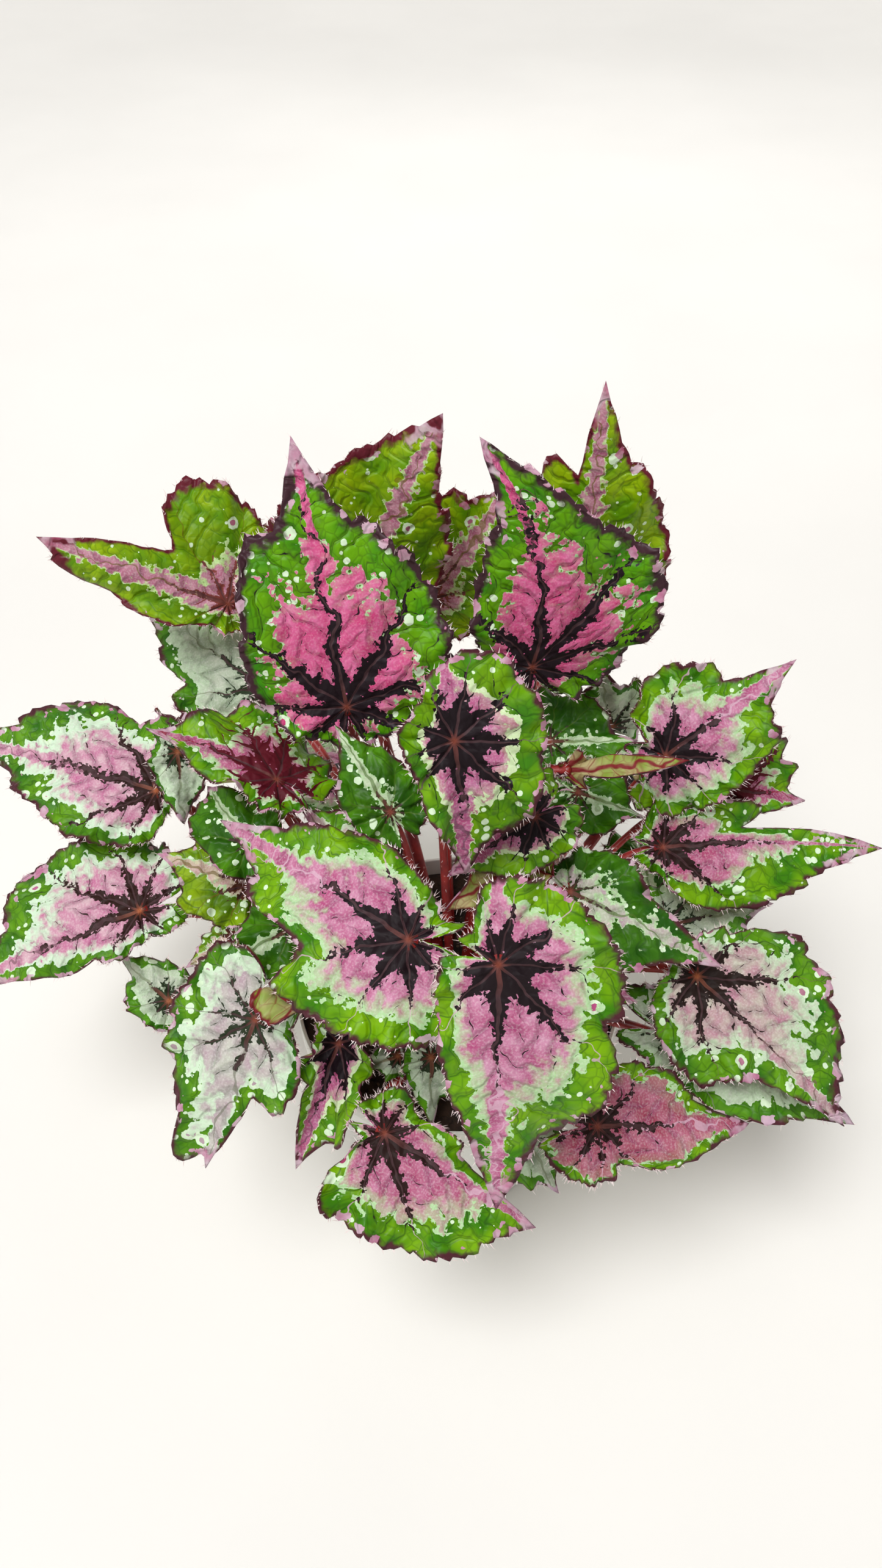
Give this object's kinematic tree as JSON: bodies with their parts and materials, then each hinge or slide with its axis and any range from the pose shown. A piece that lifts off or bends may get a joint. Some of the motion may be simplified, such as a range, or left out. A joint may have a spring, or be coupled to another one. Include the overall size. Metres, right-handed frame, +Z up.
{
  "type": "potted rex begonia",
  "caption": "Potted foliage plant: a round tapered pot filled with soil, with waved, toothed leaves patterned in green, pink and silver on upright stalks.",
  "frame": {"origin": "middle of the pot's flat base, on the surface that the pot stands on", "axes": "+Z up along the pot's axis; -Y is the front of the plant, +X its right side seen from the front"},
  "size_m": [0.4277, 0.3125, 0.3529],
  "materials": {
    "pot": "white moulded plastic",
    "soil": "dark crumbly potting mix",
    "leaf_green": "soft green leaf with pale spots, dark margin and short white hairs",
    "leaf_pink": "pink leaf with a near-black star at the stalk, a pale mint rim and a green margin",
    "leaf_silver": "silver-green leaf with a fine sparkling grain and a green margin"
  },
  "bodies": {
    "root": {"pot": "pot", "soil": "soil", "leaf_01": "leaf_pink", "leaf_02": "leaf_pink", "leaf_03": "leaf_green", "leaf_04": "leaf_green", "leaf_05": "leaf_green", "leaf_06": "leaf_green", "leaf_07": "leaf_silver", "leaf_08": "leaf_pink", "leaf_09": "leaf_pink", "leaf_10": "leaf_pink", "leaf_11": "leaf_silver", "leaf_12": "leaf_green", "leaf_13": "leaf_green", "leaf_14": "leaf_green", "leaf_15": "leaf_green", "leaf_16": "leaf_pink", "leaf_17": "leaf_pink", "leaf_18": "leaf_pink", "leaf_19": "leaf_silver", "leaf_20": "leaf_green", "leaf_21": "leaf_pink", "leaf_22": "leaf_green", "leaf_23": "leaf_pink", "leaf_24": "leaf_pink", "leaf_25": "leaf_pink", "leaf_26": "leaf_silver", "leaf_27": "leaf_green", "leaf_28": "leaf_silver", "leaf_29": "leaf_silver", "leaf_30": "leaf_pink", "leaf_31": "leaf_silver", "leaf_32": "leaf_pink", "leaf_33": "leaf_pink", "leaf_34": "leaf_silver", "leaf_35": "leaf_silver", "leaf_36": "leaf_pink", "leaf_37": "leaf_silver", "leaf_38": "leaf_silver", "leaf_39": "leaf_green", "leaf_40": "leaf_silver", "leaf_41": "leaf_green", "leaf_42": "leaf_green", "leaf_43": "leaf_green", "leaf_44": "leaf_pink", "leaf_45": "leaf_silver", "leaf_46": "leaf_pink"}
  },
  "joints": []
}
